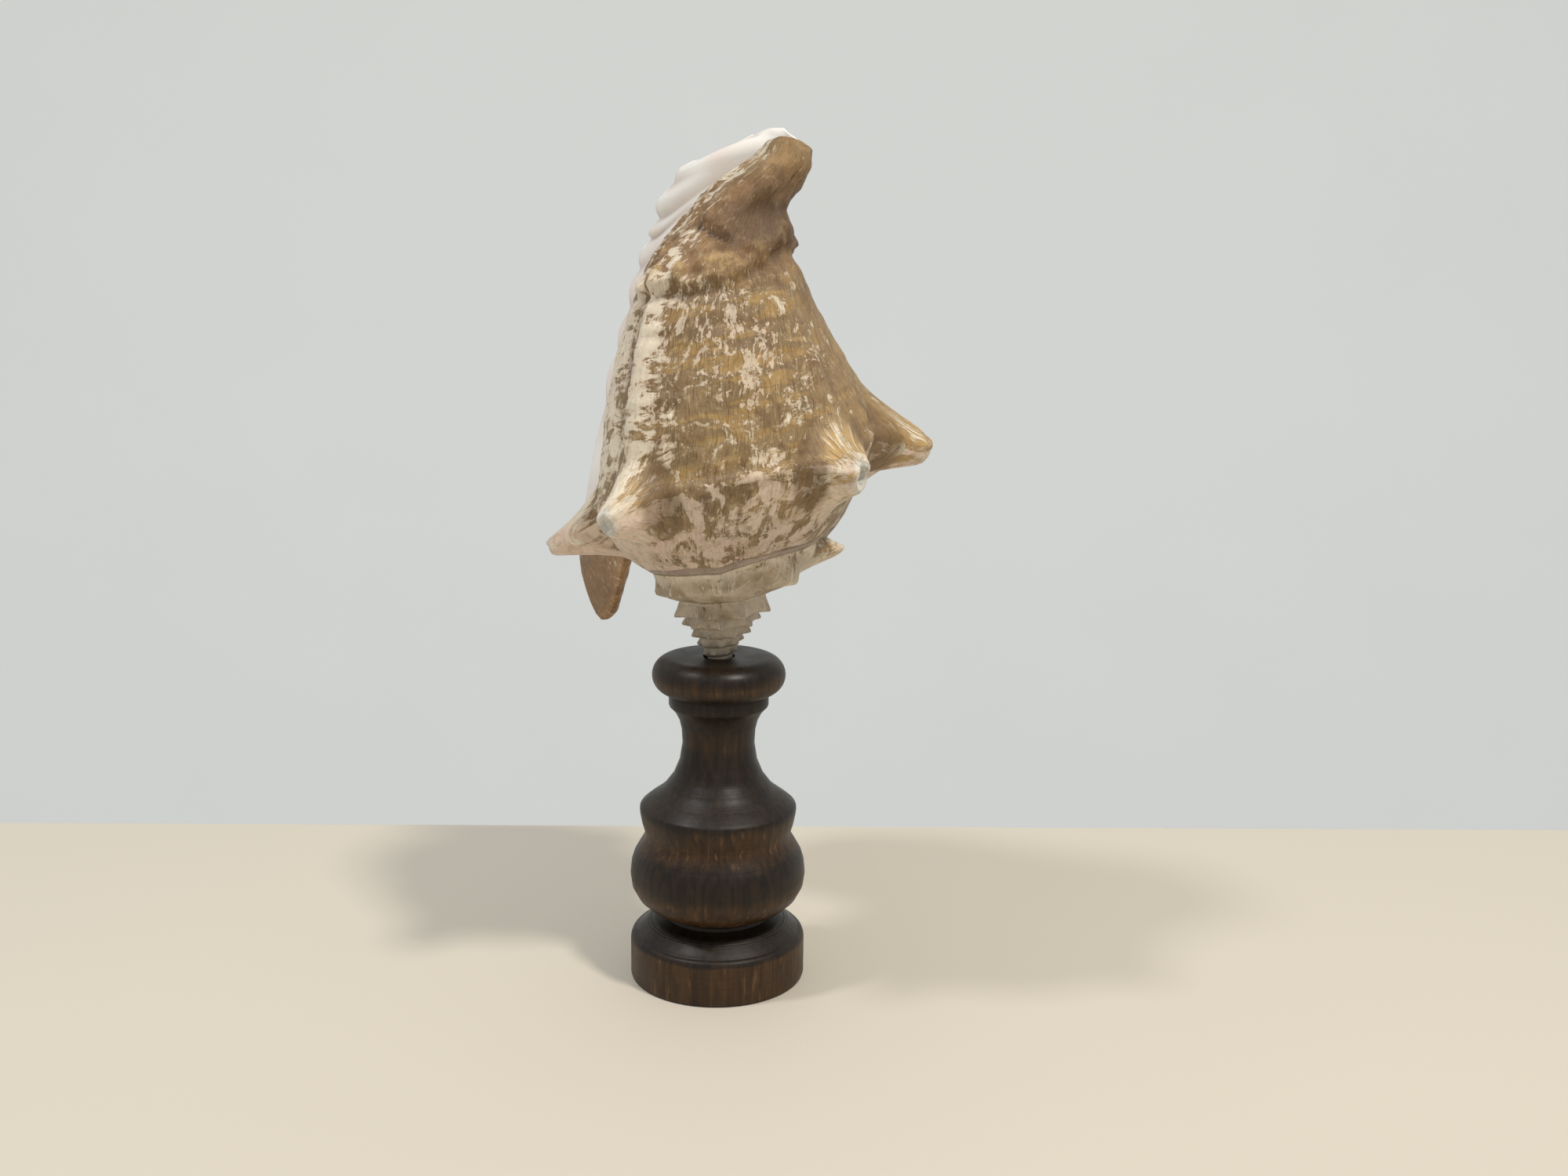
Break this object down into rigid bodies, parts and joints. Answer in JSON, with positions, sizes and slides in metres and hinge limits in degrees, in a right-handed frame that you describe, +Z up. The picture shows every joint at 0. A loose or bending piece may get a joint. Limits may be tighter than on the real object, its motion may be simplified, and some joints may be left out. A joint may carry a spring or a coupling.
{
  "type": "conch shell on stand",
  "caption": "large spiny conch shell with a flared wing, held spire down in the drilled top of a turned dark wood stand with a round foot",
  "frame": {"origin": "centre of the stand's flat foot, on the surface it stands on", "axes": "+Z up along the stand and the shell's coiling axis; +X to the viewer's right, the side of the longest spine and the canal's bent end; +Y away from the viewer, the side of the wing; the shell's mouth opens to -X and +Y"},
  "size_m": [0.1854, 0.194, 0.4108],
  "materials": {
    "shell": "matte worn shell, tan skin over cream, glossy pale pink inside",
    "wood": "dark satin varnish, worn lighter on the rounds"
  },
  "bodies": {
    "root": {"conch_shell": "shell", "stand": "wood"}
  },
  "joints": []
}
